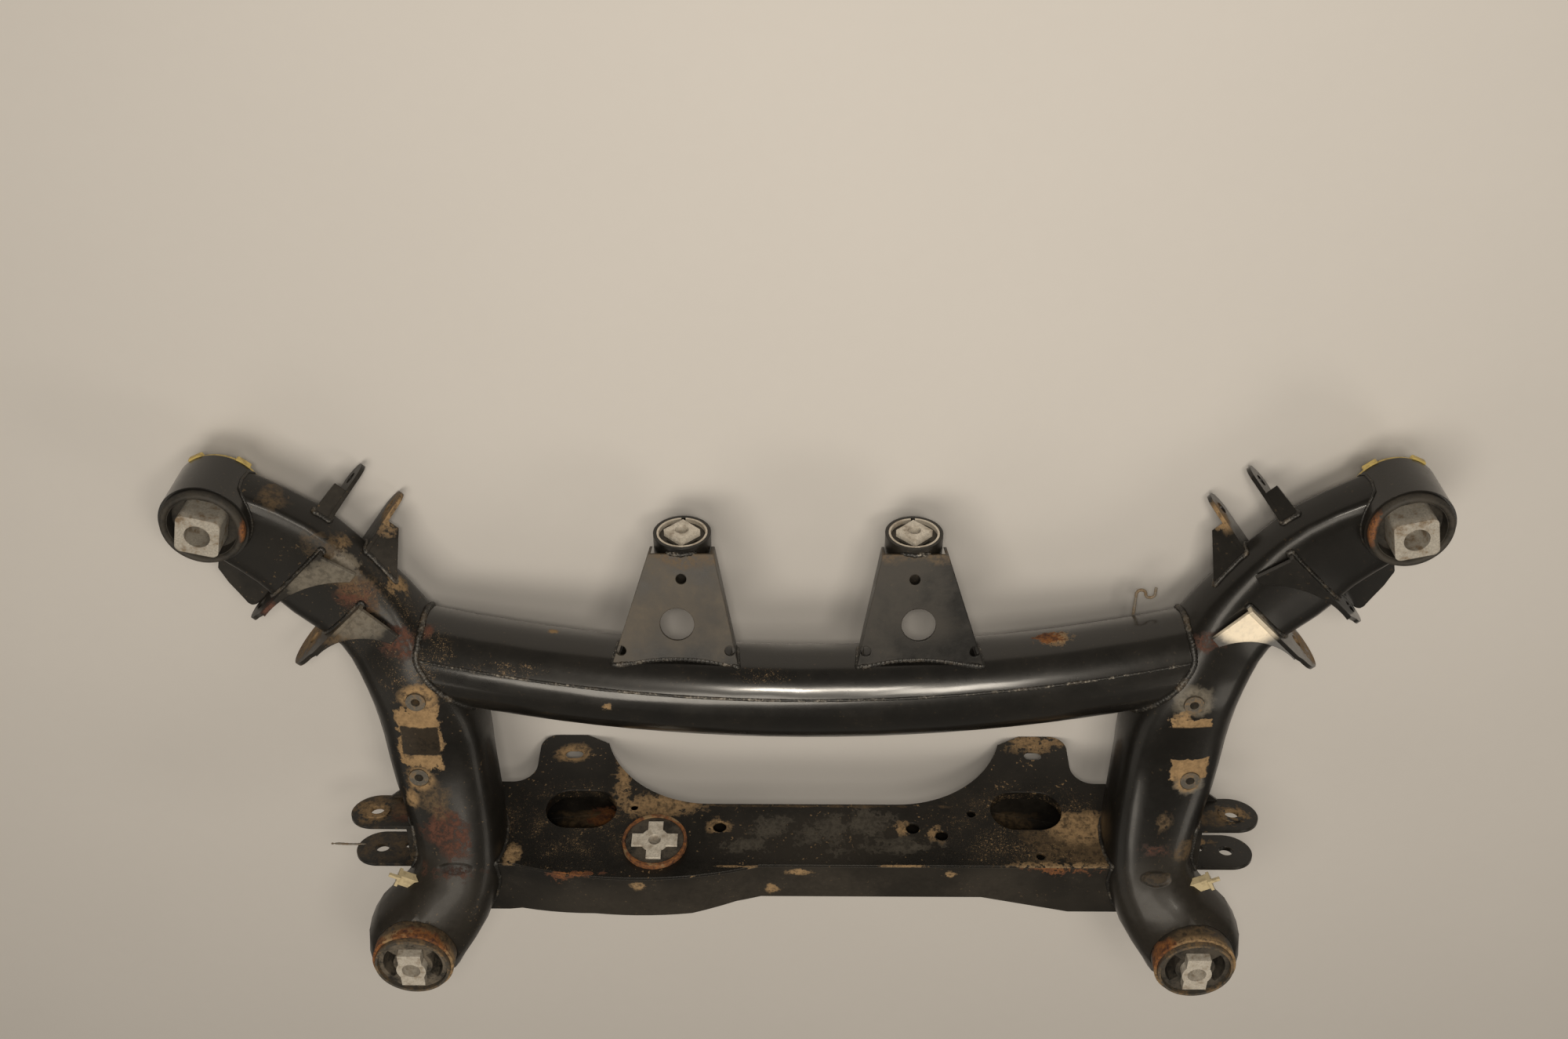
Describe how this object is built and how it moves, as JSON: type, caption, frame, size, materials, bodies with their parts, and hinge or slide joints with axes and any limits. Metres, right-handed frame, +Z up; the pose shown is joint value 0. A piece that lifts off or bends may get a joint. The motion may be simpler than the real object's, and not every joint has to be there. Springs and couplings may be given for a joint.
{
  "type": "rear subframe",
  "caption": "Welded steel rear subframe of a car, with hydroformed side members, bowed cross tube, stamped crossmember, link brackets and pressed-in rubber bushes.",
  "frame": {"origin": "middle of the outline in plan, at the ground that the subframe lies on", "axes": "+X across the car to the right of the picture, +Y towards the front mounts, +Z up, as it is fitted under a car"},
  "size_m": [1.167, 0.5277, 0.245],
  "materials": {
    "black_paint": "worn semi-gloss black paint with mud and rust",
    "rusty_steel": "orange-brown surface rust",
    "bare_steel": "dull bare steel with tan dirt",
    "aluminium": "dull pale casting",
    "rubber": "black moulded rubber",
    "yellow_plastic": "dirty yellow plastic",
    "beige_plastic": "dirty beige plastic"
  },
  "bodies": {
    "root": {"crossmember_front_plate": "black_paint", "crossmember_pan": "black_paint", "front_cross_tube": "black_paint", "left_arm_tab": "black_paint", "left_bracket": "black_paint", "left_bracket_core": "aluminium", "left_bracket_ring": "black_paint", "left_bracket_rubber": "rubber", "left_front_collar": "yellow_plastic", "left_front_core": "aluminium", "left_front_housing": "black_paint", "left_front_rubber": "rubber", "left_inner_ear": "black_paint", "left_inner_finger": "black_paint", "left_leg_clip": "beige_plastic", "left_outer_ear": "black_paint", "left_outer_finger": "black_paint", "left_rear_collar": "rusty_steel", "left_rear_core": "aluminium", "left_rear_rubber": "rubber", "left_rear_shell": "bare_steel", "left_side_clevis": "black_paint", "left_side_member": "black_paint", "left_split_sleeve": "bare_steel", "left_stabiliser_nuts": "bare_steel", "rear_bush_core": "aluminium", "rear_bush_rubber": "rubber", "rear_bush_sleeve": "rusty_steel", "right_arm_tab": "black_paint", "right_bracket": "black_paint", "right_bracket_core": "aluminium", "right_bracket_ring": "black_paint", "right_bracket_rubber": "rubber", "right_front_collar": "yellow_plastic", "right_front_core": "aluminium", "right_front_housing": "black_paint", "right_front_rubber": "rubber", "right_inner_ear": "black_paint", "right_inner_finger": "black_paint", "right_leg_clip": "beige_plastic", "right_outer_ear": "black_paint", "right_outer_finger": "black_paint", "right_rear_collar": "rusty_steel", "right_rear_core": "aluminium", "right_rear_rubber": "rubber", "right_rear_shell": "bare_steel", "right_side_clevis": "black_paint", "right_side_member": "black_paint", "right_split_sleeve": "bare_steel", "right_stabiliser_nuts": "bare_steel", "wire_clip": "rusty_steel"}
  },
  "joints": []
}
